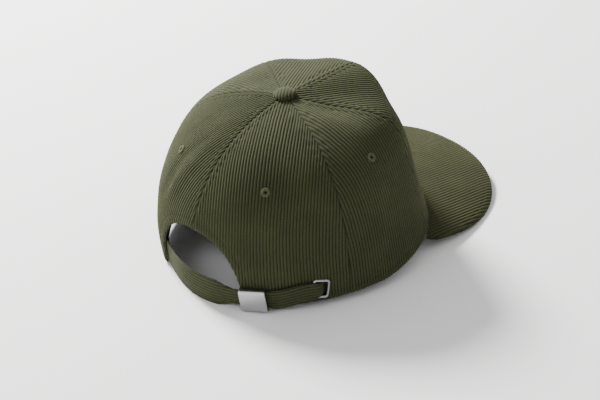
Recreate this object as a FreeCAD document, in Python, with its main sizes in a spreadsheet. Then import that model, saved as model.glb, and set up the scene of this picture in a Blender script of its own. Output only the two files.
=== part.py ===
"""Six-panel corduroy baseball cap with a strap, a clamp buckle and a tuck-in grommet.

Millimetres. +Z is up, the visor points along -Y and the wearer's left is +X. The origin is
the centre of the head opening, on the plane that the cap rests on. An azimuth is an angle
about Z from the front (-Y), positive towards +X. A rise is the angle up a crown profile,
0 degrees at the rim and 90 degrees at the button. A depth is measured inwards from the
crown's outer surface.
"""
import FreeCAD, Part
import math
import os

import Sketcher
from FreeCAD import Placement, Rotation, Vector

os.makedirs("parts", exist_ok=True)
doc = FreeCAD.newDocument("baseball_cap")

# ---------------------------------------------------------------- driving dimensions
DRIVING_DIMENSIONS = [
    # crown profile at the front seam, the temples, behind the ears and the back seam
    ("front_reach", 89.6), ("temple_reach", 98.2), ("ear_reach", 96.2), ("back_reach", 98.2),
    ("front_fullness", 14.0), ("temple_fullness", 7.8), ("ear_fullness", 2.25), ("back_fullness", 2.3),
    ("front_lean", 0.169), ("temple_lean", 0.327), ("ear_lean", -0.13), ("back_lean", -0.074),
    ("front_shoulder", 114.5), ("temple_shoulder", 108.3), ("ear_shoulder", 112.3),
    ("back_shoulder", 109.0), ("crown_height", 116.0),
    # the crown's top corners, where the front panels meet the side panels
    ("corner_bulge", 0.17), ("corner_angle", 56.0), ("corner_spread", 21.0),
    ("front_seam_angle", 59.0), ("rear_seam_angle", 109.5), ("side_rim_lift", 6.5),
    ("crest_sharpness", 1.5), ("rim_blend_angle", 30.0), ("rim_upright_rise", 6.0),
    # layers of the crown, from outside in
    ("panel_thickness", 1.3), ("layer_gap", 0.05), ("buckram_thickness", 0.7), ("buckram_inset", 2.5),
    ("buckram_top_rise", 82.0), ("tape_foot", 3.0), ("seam_clearance", 1.0),
    ("tape_depth", 2.1), ("tape_thickness", 0.5), ("tape_width", 12.0),
    ("sweatband_depth", 4.3), ("sweatband_thickness", 1.2), ("sweatband_height", 30.0),
    ("sweatband_half_angle", 150.0), ("panel_top_rise", 87.4), ("tape_top_rise", 76.0),
    # opening at the back
    ("opening_half_width", 41.8), ("opening_height", 49.5), ("opening_fullness", 2.4),
    ("binding_width", 7.0), ("binding_thickness", 0.6), ("binding_margin", 4.0),
    # visor
    ("visor_root_height", 21.0), ("visor_half_angle", 64.0), ("visor_half_width", 97.6),
    ("visor_length", 67.2), ("visor_fullness", 2.41), ("visor_slope", 0.151), ("visor_arch", 19.0),
    ("visor_cover_thickness", 1.0), ("visor_board_thickness", 1.5), ("visor_board_inset", 3.0),
    ("visor_gap", 0.3), ("visor_end", 0.965), ("visor_end_power", 6.0),
    # button
    ("button_radius", 8.0), ("button_height", 4.6), ("button_cover_thickness", 0.9),
    ("button_prong_radius", 1.6), ("button_prong_length", 7.0), ("button_washer_radius", 7.0),
    ("button_washer_thickness", 0.8), ("button_seat", 0.02), ("prong_clinch", 0.6),
    # eyelets
    ("side_eyelet_rise", 43.0), ("rear_eyelet_rise", 46.0), ("eyelet_radius", 3.3),
    ("eyelet_hole_radius", 1.3), ("eyelet_proud", 0.5), ("eyelet_bead", 0.45), ("eyelet_lift", 0.44),
    # strap and its anchor tab, lengths measured along the rim from the back seam
    ("strap_height", 21.0), ("strap_buckle_height", 13.0), ("strap_end_height", 12.4),
    ("strap_thickness", 1.3), ("strap_anchor_reach", 49.0), ("strap_tail_reach", 111.0),
    ("strap_inside_depth", 2.5), ("strap_outside_offset", 2.0), ("strap_tail_depth", 2.75),
    ("strap_tail_rise", 5.5), ("strap_trim", 0.2),
    # where each change along the strap begins, and how long it takes
    ("leave_start", -39.8), ("leave_length", 60.0), ("dive_start", 96.4), ("dive_length", 5.8),
    ("narrow_start", 22.0), ("narrow_length", 16.0), ("tuck_start", 64.0), ("tuck_length", 28.0),
    ("slot_start", 92.0), ("slot_length", 6.5),
    ("strap_slot_height", 10.4), ("tab_start", 51.5), ("tab_end", 84.0), ("tab_height", 12.0),
    ("tab_thickness", 0.6),
    # buckle, in its own frame: length along the strap, width across it, height off the crown
    ("buckle_station", 52.1), ("buckle_centre_height", 10.5), ("buckle_tilt", -4.0), ("buckle_length", 19.1),
    ("lid_width", 17.0), ("lid_thickness", 0.6), ("lid_flange_thickness", 0.5), ("lid_flange_depth", 3.4),
    ("lid_gap", 0.45), ("lid_edge_radius", 0.45), ("frame_base_height", 0.75), ("frame_base_thickness", 0.5),
    ("frame_width", 15.7), ("ear_thickness", 0.5), ("ear_length", 3.2), ("ear_round", 0.9),
    ("ear_facet", 0.369), ("plate_setback", 1.0), ("tool_overrun", 2.0),
    ("pin_radius", 0.6),
    ("pin_setback", 0.6), ("pin_height", 4.5), ("pin_clearance", 0.05), ("barrel_radius", 1.15),
    ("barrel_length", 14.3), ("pin_overhang", 0.3), ("rib_overlap", 0.1),
    # tuck-in grommet
    ("grommet_station", 98.0), ("grommet_centre_height", 16.0), ("grommet_length", 12.6),
    ("grommet_width", 15.6), ("grommet_bar", 2.0), ("grommet_thickness", 1.3),
    ("grommet_corner_radius", 3.0), ("grommet_hole_radius", 1.5),
    ("grommet_lift", 0.1), ("slot_tool_reach", 6.0), ("grommet_tilt", 8.0), ("grommet_back_thickness", 0.45),
    ("grommet_back_depth", 1.9),
]

sheet = doc.addObject("Spreadsheet::Sheet", "Dimensions")
for row, (alias, value) in enumerate(DRIVING_DIMENSIONS, start=1):
    sheet.set(f"A{row}", alias)
    sheet.set(f"B{row}", str(value))
    sheet.setAlias(f"B{row}", alias)
doc.recompute()


def size(alias):
    """Value of one driving dimension, read from the sheet."""
    return float(getattr(sheet, alias))


PARTS = []


def keep(feature, label, placement=None):
    """Name a finished sub-part and list it for checking and writing."""
    feature.Label = label
    if placement is not None:
        feature.Placement = placement
    PARTS.append(feature)
    return feature


def add_shape(label, shape, placement=None):
    feature = doc.addObject("Part::Feature", label)
    feature.Shape = shape
    return keep(feature, label, placement if placement is not None else Placement())


# ---------------------------------------------------------------- crown surface
SEAM_STATIONS = ("front", "temple", "ear", "back")


def around(quantity, azimuth):
    """A crown quantity at an azimuth: the smoothest wave through its four stations."""
    front, temple, ear, back = (size(f"{station}_{quantity}") for station in SEAM_STATIONS)
    waves = (
        (front + 2 * temple + 2 * ear + back) / 6,
        (front + temple - ear - back) / 3,
        (front - temple - ear + back) / 3,
        (front - 2 * temple + 2 * ear - back) / 6,
    )
    turn = math.radians(azimuth)
    return sum(wave * math.cos(order * turn) for order, wave in enumerate(waves))


def smooth_step(value):
    value = min(max(value, 0.0), 1.0)
    return value * value * (3 - 2 * value)


def visor_height(x, y):
    """Height of the visor's top surface: it slopes forwards and arches across."""
    arch = size("visor_arch") * (x / size("visor_half_width")) ** 2
    return size("visor_root_height") + size("visor_slope") * (y + size("front_reach")) - arch


def rim_height(azimuth):
    """The rim follows the visor at the front, lifts at the sides and rests at the back."""
    reach = around("reach", azimuth)
    turn = math.radians(azimuth)
    on_visor = visor_height(reach * math.sin(turn), -reach * math.cos(turn))
    away = smooth_step((abs(azimuth) - size("visor_half_angle")) / size("rim_blend_angle"))
    return on_visor * (1 - away) + away * size("side_rim_lift") * math.sin(turn) ** 2


def lean_at(azimuth):
    """How far the crown leans in at its top; it leans less at the corners beside the front."""
    from_corner = (abs(azimuth) - size("corner_angle")) / size("corner_spread")
    return around("lean", azimuth) - size("corner_bulge") * math.exp(-from_corner ** 2)


def profile(azimuth, rise):
    """Radius and height of the crown's outer surface."""
    fullness = around("fullness", azimuth)
    across = math.cos(math.radians(rise))
    up = math.sin(math.radians(rise))
    swell = (abs(across) ** fullness + abs(up) ** fullness) ** (-1 / fullness)
    across *= swell
    up *= swell
    low = rim_height(azimuth)
    shoulder = around("shoulder", azimuth)
    radius = around("reach", azimuth) * across * (1 - lean_at(azimuth) * up)
    crest = max(1 - across, 0.0) ** size("crest_sharpness")
    height = low + (shoulder - low) * up + (size("crown_height") - shoulder) * crest
    return radius, height


PROBE_RISE = 0.5
PROBE_HEIGHT = 4.0
TOP_RISE = 90.0
JUST_ABOVE_RIM = 0.01
LENGTH_STEPS = 4


def crown_point(azimuth, rise, depth=0.0):
    """A point on or under the crown, offset within its own meridian plane."""
    radius, height = profile(azimuth, rise)
    if depth:
        below = profile(azimuth, max(rise - PROBE_RISE, 0.0))
        above = profile(azimuth, min(rise + PROBE_RISE, TOP_RISE))
        run = above[0] - below[0]
        climb = above[1] - below[1]
        level = smooth_step(rise / size("rim_upright_rise"))
        run *= level
        slope_length = math.hypot(run, climb)
        radius -= depth * climb / slope_length
        height += depth * run / slope_length
    turn = math.radians(azimuth)
    return Vector(radius * math.sin(turn), -radius * math.cos(turn), height)


def rise_at(azimuth, height):
    """Rise at which the crown stands this far above its own rim."""
    fullness = around("fullness", azimuth)
    up = height / (around("shoulder", azimuth) - rim_height(azimuth))
    across = (1 - up ** fullness) ** (1 / fullness)
    return math.degrees(math.atan2(up, across))


def rise_at_height(azimuth, height):
    """Rise at which the crown stands at a height above the resting plane."""
    return rise_at(azimuth, max(height - rim_height(azimuth), JUST_ABOVE_RIM))


def azimuth_at(reach_along, side=-1):
    """Azimuth of a place on the rim, a length along it from the back seam."""
    half_turn = 180.0
    radius = around("reach", half_turn)
    for _ in range(LENGTH_STEPS):
        angle = math.degrees(reach_along / radius)
        radius = (around("reach", half_turn) + around("reach", half_turn - angle)) / 2
    return side * (half_turn - angle)


def spread(low, high, count):
    return [low + (high - low) * step / (count - 1) for step in range(count)]


def surface_through(grid):
    surface = Part.BSplineSurface()
    surface.interpolate(grid)
    return surface


def solid_between(outer_grid, inner_grid):
    """Closed solid between two point grids with matching edges."""
    surfaces = [surface_through(outer_grid), surface_through(inner_grid)]
    faces = [surface.toShape() for surface in surfaces]
    edges = []
    for surface in surfaces:
        u_low, u_high, v_low, v_high = surface.bounds()
        curves = (surface.uIso(u_low), surface.uIso(u_high), surface.vIso(v_low), surface.vIso(v_high))
        edges.append([curve.toShape() for curve in curves])
    for outer_edge, inner_edge in zip(*edges):
        faces.append(Part.makeRuledSurface(outer_edge, inner_edge))
    shell = Part.makeCompound(faces)
    shell.sewShape(0.001)
    solid = Part.makeSolid(Part.Shell(shell.Faces))
    if solid.Volume < 0:
        solid.reverse()
    return solid


def crown_layer(columns, outer_depth, inner_depth):
    """Layer of the crown. Each column is (azimuths, rises): one point per row."""
    grids = []
    for depth in (outer_depth, inner_depth):
        grids.append([[crown_point(a, r, depth) for a, r in zip(*column)] for column in columns])
    return solid_between(*grids)


def wedge(low_azimuth, high_azimuth, low_rise, high_rise, column_count, row_count):
    """Columns of a patch between two azimuths; its rises are functions of the azimuth."""
    columns = []
    for azimuth in spread(low_azimuth, high_azimuth, column_count):
        rises = spread(low_rise(azimuth), high_rise(azimuth), row_count)
        columns.append(([azimuth] * row_count, rises))
    return columns


# ---------------------------------------------------------------- tools that cut the crown
CUTTER_START = 45.0
CUTTER_LENGTH = 90.0
CUTTER_FLOOR = -10.0
ARCH_POINTS = 25
UPRIGHT = 0.99


def opening_tool(widen):
    """Arch of the back opening, run through the back wall."""
    half_width = size("opening_half_width") + widen
    height = size("opening_height") + widen
    power = 2 / size("opening_fullness")
    points = []
    for angle in spread(0.0, 180.0, ARCH_POINTS):
        across = math.cos(math.radians(angle))
        up = max(math.sin(math.radians(angle)), 0.0)
        x = half_width * math.copysign(abs(across) ** power, across)
        points.append(Vector(x, CUTTER_START, height * up ** power))
    arch = Part.BSplineCurve()
    arch.interpolate(points)
    feet = [Vector(x, CUTTER_START, CUTTER_FLOOR) for x in (-half_width, half_width)]
    corners = [points[-1]] + feet
    sides = Part.makePolygon(corners + [points[0]]).Edges
    face = Part.Face(Part.Wire([arch.toShape()] + sides))
    return face.extrude(Vector(0, CUTTER_LENGTH, 0))


def local_frame(station, height, tilt=0.0, side=-1):
    """Frame on the crown: X along the rim, away from the back seam, Y up the wall, Z out of it."""
    azimuth = azimuth_at(station, side)
    origin = crown_point(azimuth, rise_at_height(azimuth, height))
    turn = math.radians(azimuth)
    along = Vector(math.cos(turn), math.sin(turn), 0)
    above = crown_point(azimuth, rise_at_height(azimuth, height + PROBE_HEIGHT))
    below = crown_point(azimuth, rise_at_height(azimuth, height - PROBE_HEIGHT))
    up = above - below
    frame = Placement(origin, Rotation(along, up.normalize(), along.cross(up), "ZXY"))
    return frame.multiply(Placement(Vector(), Rotation(Vector(0, 0, 1), -tilt)))


def rounded_slot(length, width, radius, low, high):
    """Rounded rectangular block in a local frame."""
    block = Part.makeBox(length, width, high - low, Vector(-length / 2, -width / 2, low))
    uprights = [e for e in block.Edges if abs(e.tangentAt(e.FirstParameter).z) > UPRIGHT]
    return block.makeFillet(radius, uprights)


buckle_frame = local_frame(size("buckle_station"), size("buckle_centre_height"), size("buckle_tilt"))
grommet_frame = local_frame(size("grommet_station"), size("grommet_centre_height"), size("grommet_tilt"))
slot_length = size("grommet_length") - 2 * size("grommet_bar")
slot_width = size("grommet_width") - 2 * size("grommet_bar")
slot_reach = size("slot_tool_reach")
slot_tool = rounded_slot(slot_length, slot_width, size("grommet_hole_radius"), -slot_reach, slot_reach)
slot_tool.Placement = grommet_frame


# ---------------------------------------------------------------- crown panels and linings
# points that each surface is drawn through: across, then up
PANEL_POINTS = (15, 31)
BUCKRAM_POINTS = (13, 29)
TAPE_POINTS = (5, 25)
SWEATBAND_POINTS = (61, 7)
BINDING_POINTS = (31, 21)
VISOR_POINTS = (41, 9)
BAND_ROWS = 5
TAB_COLUMNS = 15
STRAP_STEP = 2.0


def make_panels():
    front = size("front_seam_angle")
    rear = size("rear_seam_angle")
    spans = {"front_left_panel": (0, front), "side_left_panel": (front, rear), "rear_left_panel": (rear, 180)}
    arch = opening_tool(0.0)
    for side, sign in (("left", 1), ("right", -1)):
        for name, (low, high) in spans.items():
            top = size("panel_top_rise")
            columns = wedge(sign * low, sign * high, lambda a: 0.0, lambda a: top, *PANEL_POINTS)
            panel = crown_layer(columns, 0.0, size("panel_thickness"))
            label = name.replace("left", side)
            if label.startswith("rear"):
                panel = panel.cut(arch)
            if label == "rear_right_panel":
                panel = panel.cut(slot_tool)
            add_shape(label, panel)


def make_buckram():
    """Stiffener behind each front panel, clear of the seams."""
    outer = size("panel_thickness") + size("layer_gap")
    inset = size("buckram_inset")
    for side, sign in (("left", 1), ("right", -1)):
        low = sign * inset
        high = sign * (size("front_seam_angle") - inset)
        top = size("buckram_top_rise")
        columns = wedge(low, high, lambda a: rise_at(a, inset), lambda a: top, *BUCKRAM_POINTS)
        add_shape(f"front_{side}_buckram", crown_layer(columns, outer, outer + size("buckram_thickness")))


def make_seam_tapes():
    seams = {
        "front_centre_tape": 0.0,
        "front_left_tape": size("front_seam_angle"),
        "front_right_tape": -size("front_seam_angle"),
        "rear_left_tape": size("rear_seam_angle"),
        "rear_right_tape": -size("rear_seam_angle"),
        "back_centre_tape": 180.0,
    }
    across_count, row_count = TAPE_POINTS
    for label, seam in seams.items():
        foot = size("tape_foot")
        if label == "back_centre_tape":
            foot = size("opening_height") + size("binding_width") + size("seam_clearance")
        rises = spread(rise_at(seam, foot), size("tape_top_rise"), row_count)
        columns = []
        for across in spread(-size("tape_width") / 2, size("tape_width") / 2, across_count):
            azimuths = [seam + math.degrees(across / profile(seam, rise)[0]) for rise in rises]
            columns.append((azimuths, rises))
        outer = size("tape_depth")
        add_shape(label, crown_layer(columns, outer, outer + size("tape_thickness")))


def make_sweatband():
    reach = size("sweatband_half_angle")
    top = size("sweatband_height")
    low = JUST_ABOVE_RIM
    columns = wedge(-reach, reach, lambda a: rise_at(a, low), lambda a: rise_at(a, top), *SWEATBAND_POINTS)
    outer = size("sweatband_depth")
    add_shape("sweatband", crown_layer(columns, outer, outer + size("sweatband_thickness")))


def make_opening_binding():
    """Facing tape inside the edge of the back opening."""
    low = azimuth_at(size("opening_half_width") + size("binding_width") + size("seam_clearance"), 1)
    outer = size("panel_thickness") + size("layer_gap")
    top = size("opening_height") + size("binding_width") + size("binding_margin")
    columns = wedge(low, 360.0 - low, lambda a: 0.0, lambda a: rise_at(a, top), *BINDING_POINTS)
    layer = crown_layer(columns, outer, outer + size("binding_thickness"))
    ring = opening_tool(size("binding_width")).cut(opening_tool(0.0))
    add_shape("opening_binding", layer.common(ring))


def make_eyelets():
    front = size("front_seam_angle")
    rear = size("rear_seam_angle")
    middles = {"side": (front + rear) / 2, "rear": (rear + 180.0) / 2}
    for place, middle in middles.items():
        for side, sign in (("left", 1), ("right", -1)):
            azimuth = sign * middle
            rise = size(f"{place}_eyelet_rise")
            outside = crown_point(azimuth, rise, -size("eyelet_proud"))
            normal = outside.sub(crown_point(azimuth, rise, size("eyelet_proud"))).normalize()
            ring = doc.addObject("Part::Torus", f"{place}_{side}_eyelet")
            ring.setExpression("Radius1", "(Dimensions.eyelet_radius + Dimensions.eyelet_hole_radius) / 2")
            ring.setExpression("Radius2", "Dimensions.eyelet_bead")
            centre = outside.add(Vector(normal).multiply(size("eyelet_lift")))
            keep(ring, f"{place}_{side}_eyelet", Placement(centre, Rotation(Vector(0, 0, 1), normal)))


# ---------------------------------------------------------------- visor
def visor_outline(position, inset):
    """Inner and outer edge of the visor at a position from -1 (right) to 1 (left)."""
    azimuth = position * size("visor_half_angle")
    reach = around("reach", azimuth) + size("visor_gap")
    turn = math.radians(azimuth)
    inner = (reach * math.sin(turn), -reach * math.cos(turn))
    end_turn = math.radians(size("visor_half_angle"))
    end_reach = around("reach", size("visor_half_angle"))
    end_x = end_reach * math.sin(end_turn)
    end_y = -end_reach * math.cos(end_turn)
    length = end_y + size("front_reach") + size("visor_length") - inset
    angle = position * math.pi / 2
    power = 2 / size("visor_fullness")
    half_width = size("visor_half_width") - inset
    across = half_width * math.copysign(abs(math.sin(angle)) ** power, angle)
    across *= 1 - abs(position) ** size("visor_end_power") * (1 - end_x / size("visor_half_width"))
    forward = end_y - length * max(math.cos(angle), 0.0) ** power
    return inner, (across, forward)


def visor_layer(label, top, bottom, inset):
    """One layer of the visor, between two depths under its top surface."""
    end = size("visor_end")
    column_count, row_count = VISOR_POINTS
    grids = []
    for depth in (top, bottom):
        grid = []
        for position in spread(-end, end, column_count):
            inner, outer = visor_outline(position, inset)
            line = []
            for share in spread(0.0, 1.0, row_count):
                x = inner[0] + (outer[0] - inner[0]) * share
                y = inner[1] + (outer[1] - inner[1]) * share
                line.append(Vector(x, y, visor_height(x, y) - depth))
            grid.append(line)
        grids.append(grid)
    add_shape(label, solid_between(*grids))


def make_visor():
    cover = size("visor_cover_thickness")
    board = size("visor_board_thickness")
    gap = size("layer_gap")
    visor_layer("visor_top_cover", 0.0, cover, 0.0)
    visor_layer("visor_board", cover + gap, cover + gap + board, size("visor_board_inset"))
    visor_layer("visor_under_cover", cover + board + 2 * gap, 2 * cover + board + 2 * gap, 0.0)


# ---------------------------------------------------------------- sketches
def attach_sketch(body, name, role):
    plane = next(f for f in body.Origin.OriginFeatures if f.Role == role)
    sketch = body.newObject("Sketcher::SketchObject", name)
    sketch.AttachmentSupport = [(plane, "")]
    sketch.MapMode = "FlatFace"
    return sketch


def draw_polygon(sketch, corners):
    """Closed polygon; every corner is tied to the sheet by a pair of expressions."""
    count = len(corners)
    points = [Vector(index % 2 + index, index // 2 + 1, 0) for index in range(count)]
    for index in range(count):
        sketch.addGeometry(Part.LineSegment(points[index], points[(index + 1) % count]), False)
    for index in range(count):
        sketch.addConstraint(Sketcher.Constraint("Coincident", index, 2, (index + 1) % count, 1))
    for index, (x_size, y_size) in enumerate(corners):
        for kind, expression in (("DistanceX", x_size), ("DistanceY", y_size)):
            number = sketch.addConstraint(Sketcher.Constraint(kind, -1, 1, index, 1, 1.0 + index))
            sketch.setExpression(f"Constraints[{number}]", expression)


def draw_circle(sketch, x_size, y_size, radius_size):
    number = sketch.addGeometry(Part.Circle(Vector(1, 1, 0), Vector(0, 0, 1), 1.0), False)
    radius = sketch.addConstraint(Sketcher.Constraint("Radius", number, 1.0))
    sketch.setExpression(f"Constraints[{radius}]", radius_size)
    for kind, expression in (("DistanceX", x_size), ("DistanceY", y_size)):
        place = sketch.addConstraint(Sketcher.Constraint(kind, -1, 1, number, 3, 1.0))
        sketch.setExpression(f"Constraints[{place}]", expression)


def add_feature(body, kind, name, sketch, length, middle=False):
    feature = body.newObject(f"PartDesign::{kind}", name)
    feature.Profile = sketch
    feature.setExpression("Length", length)
    feature.Midplane = middle
    sketch.Visibility = False
    return feature


def D(expression):
    """Write a sheet expression briefly: @name stands for the cell with that alias."""
    return expression.replace("@", "Dimensions.")


# ---------------------------------------------------------------- button
def make_button():
    base_height = crown_point(0.0, TOP_RISE).z
    seat = Placement(Vector(0, 0, base_height + size("button_seat")), Rotation())
    cover = doc.addObject("PartDesign::Body", "button_cover")
    section = attach_sketch(cover, "cover_section", "XZ_Plane")
    hollow_radius = "@button_radius - @button_cover_thickness"
    hollow_height = "@button_height - @button_cover_thickness"
    draw_dome_section(section, D("@button_radius"), D("@button_height"), D(hollow_radius), D(hollow_height))
    turn = cover.newObject("PartDesign::Revolution", "cover_revolution")
    turn.Profile = section
    turn.ReferenceAxis = (section, ["V_Axis"])
    keep(cover, "button_cover", seat)

    shell = doc.addObject("PartDesign::Body", "button_shell")
    section = attach_sketch(shell, "shell_section", "XZ_Plane")
    core = "@button_radius - @button_cover_thickness - @layer_gap"
    top = "@button_height - @button_cover_thickness - @layer_gap"
    draw_solid_dome(section, D(core), D(top))
    turn = shell.newObject("PartDesign::Revolution", "shell_revolution")
    turn.Profile = section
    turn.ReferenceAxis = (section, ["V_Axis"])
    prong = attach_sketch(shell, "prong_circle", "XY_Plane")
    draw_circle(prong, "0", "0", D("@button_prong_radius"))
    stem = add_feature(shell, "Pad", "prong", prong, D("@button_prong_length"))
    stem.Reversed = True
    keep(shell, "button_shell", seat)

    washer = doc.addObject("PartDesign::Body", "button_washer")
    ring = attach_sketch(washer, "washer_ring", "XY_Plane")
    draw_circle(ring, "0", "0", D("@button_washer_radius"))
    draw_circle(ring, "0", "0", D("@button_prong_radius"))
    add_feature(washer, "Pad", "washer_pad", ring, D("@button_washer_thickness"))
    low = base_height - size("button_prong_length") + size("prong_clinch")
    keep(washer, "button_washer", Placement(Vector(0, 0, low), Rotation()))


# radius and height that each dome is first drawn with, before the sheet sizes it
ROUGH_CORE = (7.0, 4.0)
ROUGH_COVER = (8.0, 4.5)
ROUGH_HOLLOW = (7.0, 3.5)
ROUGH_HALF = 5.0


def draw_dome_arc(sketch, radius, height, wide, tall):
    """Arc from the foot of a dome to its crest, centred on the sketch's vertical axis."""
    ball = (wide * wide + tall * tall) / (2 * tall)
    circle = Part.Circle(Vector(0, tall - ball, 0), Vector(0, 0, 1), ball)
    arc = sketch.addGeometry(Part.ArcOfCircle(circle, math.asin((ball - tall) / ball), math.pi / 2), False)
    sketch.addConstraint(Sketcher.Constraint("PointOnObject", arc, 3, -2))
    sketch.addConstraint(Sketcher.Constraint("PointOnObject", arc, 2, -2))
    sketch.addConstraint(Sketcher.Constraint("PointOnObject", arc, 1, -1))
    reach = sketch.addConstraint(Sketcher.Constraint("DistanceX", -1, 1, arc, 1, wide))
    sketch.setExpression(f"Constraints[{reach}]", radius)
    crest = sketch.addConstraint(Sketcher.Constraint("DistanceY", -1, 1, arc, 2, tall))
    sketch.setExpression(f"Constraints[{crest}]", height)
    return arc


def draw_solid_dome(sketch, radius, height):
    """Half section of a solid dome: its arc, the axis and a flat foot."""
    wide, tall = ROUGH_CORE
    arc = draw_dome_arc(sketch, radius, height, wide, tall)
    axis = sketch.addGeometry(Part.LineSegment(Vector(0, tall, 0), Vector(0, 0, 0)), False)
    foot = sketch.addGeometry(Part.LineSegment(Vector(0, 0, 0), Vector(wide, 0, 0)), False)
    sketch.addConstraint(Sketcher.Constraint("Coincident", arc, 2, axis, 1))
    sketch.addConstraint(Sketcher.Constraint("Coincident", axis, 2, foot, 1))
    sketch.addConstraint(Sketcher.Constraint("Coincident", foot, 2, arc, 1))
    sketch.addConstraint(Sketcher.Constraint("Coincident", axis, 2, -1, 1))


def draw_dome_section(sketch, radius, height, hollow_radius, hollow_height):
    """Half section of a hollow dome, open below."""
    wide, tall = ROUGH_COVER
    hollow_wide, hollow_tall = ROUGH_HOLLOW
    outer = draw_dome_arc(sketch, radius, height, wide, tall)
    inner = draw_dome_arc(sketch, hollow_radius, hollow_height, hollow_wide, hollow_tall)
    crest = sketch.addGeometry(Part.LineSegment(Vector(0, tall, 0), Vector(0, hollow_tall, 0)), False)
    foot = sketch.addGeometry(Part.LineSegment(Vector(hollow_wide, 0, 0), Vector(wide, 0, 0)), False)
    sketch.addConstraint(Sketcher.Constraint("Coincident", outer, 2, crest, 1))
    sketch.addConstraint(Sketcher.Constraint("Coincident", crest, 2, inner, 2))
    sketch.addConstraint(Sketcher.Constraint("Coincident", inner, 1, foot, 1))
    sketch.addConstraint(Sketcher.Constraint("Coincident", foot, 2, outer, 1))


# ---------------------------------------------------------------- strap and tab
def change(name, station):
    """Share, from 0 to 1, of one of the strap's changes that is complete at a place along it."""
    return smooth_step((station - size(f"{name}_start")) / size(f"{name}_length"))


def strap_offset(station):
    """How far the strap's inner face stands off the crown (negative inside it)."""
    inside = -(size("strap_inside_depth") + size("strap_thickness"))
    outside = size("strap_outside_offset")
    tail = -(size("strap_tail_depth") + size("strap_thickness"))
    leave = change("leave", station)
    dive = change("dive", station)
    return (inside + (outside - inside) * leave) * (1 - dive) + tail * dive


def strap_band(station):
    """Lowest and highest edge of the strap at a place along it."""
    tuck = change("tuck", station)
    height = size("strap_height")
    height += (size("strap_buckle_height") - size("strap_height")) * change("narrow", station)
    height += (size("strap_end_height") - size("strap_buckle_height")) * tuck
    height += (size("strap_slot_height") - size("strap_end_height")) * change("slot", station)
    centre = size("strap_height") / 2 - size("strap_trim") + tuck * size("strap_tail_rise")
    return centre - height / 2, centre + height / 2


def band_solid(stations, offset_at, thickness, band_at):
    """Band that follows the rim; offset_at and band_at give its place and its edges."""
    grids = []
    for extra in (thickness, 0.0):
        grid = []
        for station in stations:
            side = -1 if station >= 0 else 1
            azimuth = azimuth_at(abs(station), side)
            low, high = band_at(station)
            turn = math.radians(azimuth)
            line = []
            for height in spread(low, high, BAND_ROWS):
                radius = profile(azimuth, rise_at_height(azimuth, height))[0] + offset_at(station) + extra
                line.append(Vector(radius * math.sin(turn), -radius * math.cos(turn), height))
            grid.append(line)
        grids.append(grid)
    return solid_between(*grids)


def make_strap():
    length = size("strap_anchor_reach") + size("strap_tail_reach")
    stations = spread(-size("strap_anchor_reach"), size("strap_tail_reach"), int(length / STRAP_STEP) + 1)
    band = band_solid(stations, strap_offset, size("strap_thickness"), strap_band)
    reach = 2 * size("back_reach")
    under = Part.makeBox(2 * reach, 2 * reach, reach, Vector(-reach, -reach, -reach))
    add_shape("strap", band.cut(under))
    centre = size("buckle_centre_height")
    half = size("tab_height") / 2
    stations = spread(size("tab_start"), size("tab_end"), TAB_COLUMNS)
    gap = size("layer_gap")
    tab = band_solid(stations, lambda s: gap, size("tab_thickness"), lambda s: (centre - half, centre + half))
    add_shape("buckle_tab", tab)


# ---------------------------------------------------------------- clamp buckle
TOUCH = 0.01
LONG_EDGE = 5.0


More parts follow.
